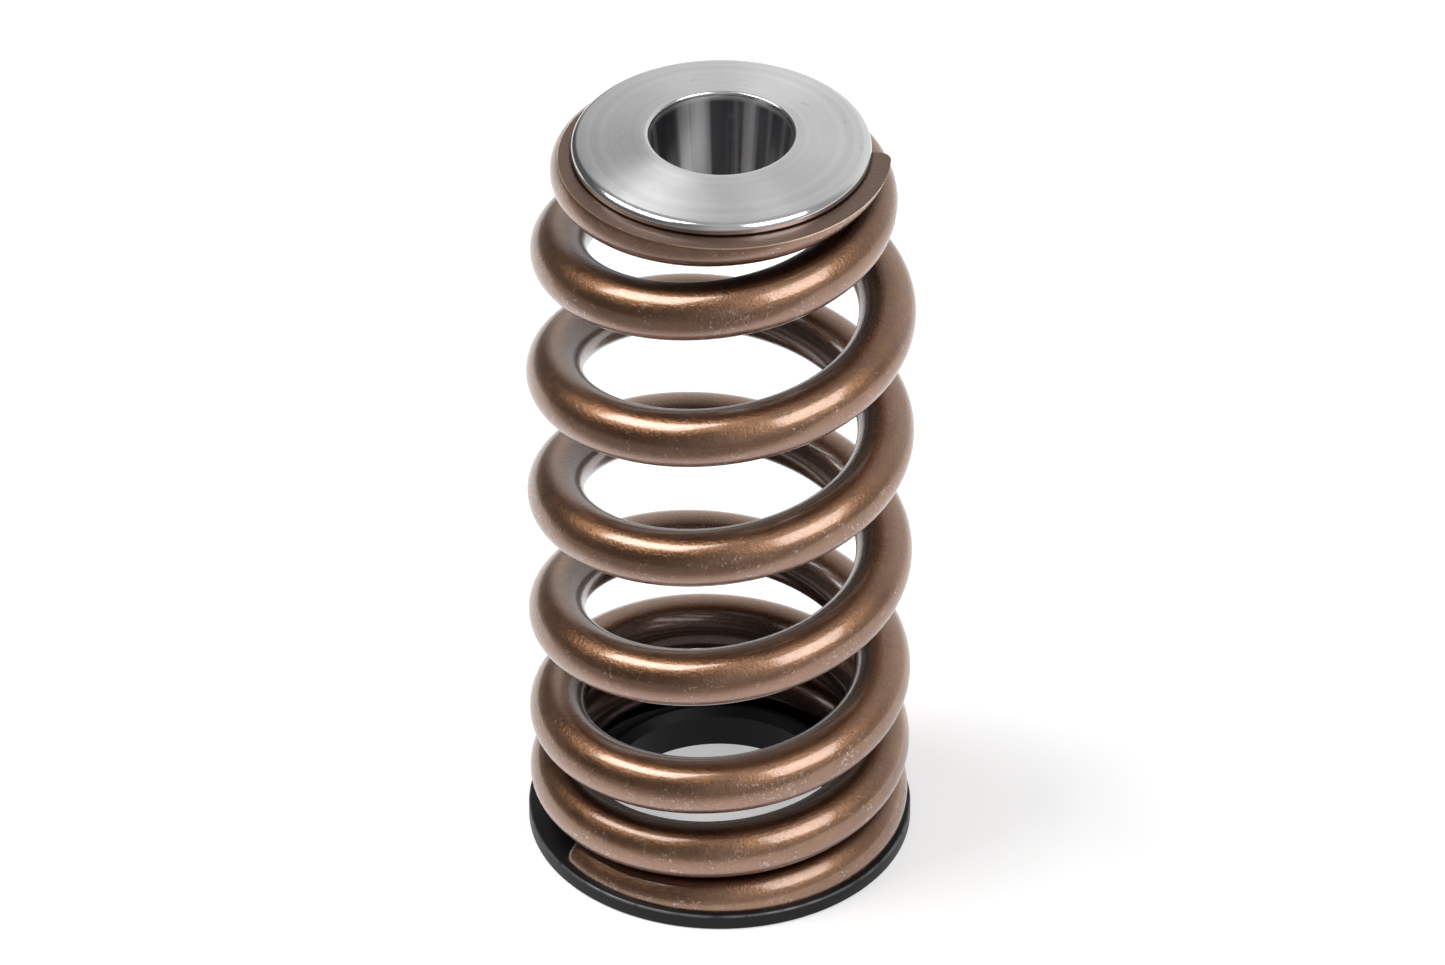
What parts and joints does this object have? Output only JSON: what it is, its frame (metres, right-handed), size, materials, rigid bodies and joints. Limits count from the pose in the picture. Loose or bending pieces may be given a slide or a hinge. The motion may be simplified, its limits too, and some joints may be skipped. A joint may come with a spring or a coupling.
{
  "type": "valve spring assembly",
  "caption": "Coil valve spring with close-wound ends and a narrowed top, standing on a flat seat ring, with a flanged retainer on its top coil.",
  "frame": {"origin": "on the common axis of the three pieces, in the plane of the seat's underside", "axes": "+Z along the axis, from the seat towards the retainer. The bottom tip of the wire lies at -148.5 degrees from +X, so on the side of -Y, the front."},
  "size_m": [0.0274, 0.0274, 0.059],
  "materials": {
    "seat_steel": "satin black conversion coating on turned steel",
    "spring_wire": "bronze-brown metallic coating with a fine grain on shot-peened wire, darker on the ground faces",
    "retainer_steel": "bare fine-turned steel with round turning lines and a bright rounded rim"
  },
  "bodies": {
    "root": {"spring_seat": "seat_steel", "valve_spring": "spring_wire", "retainer": "retainer_steel"}
  },
  "joints": []
}
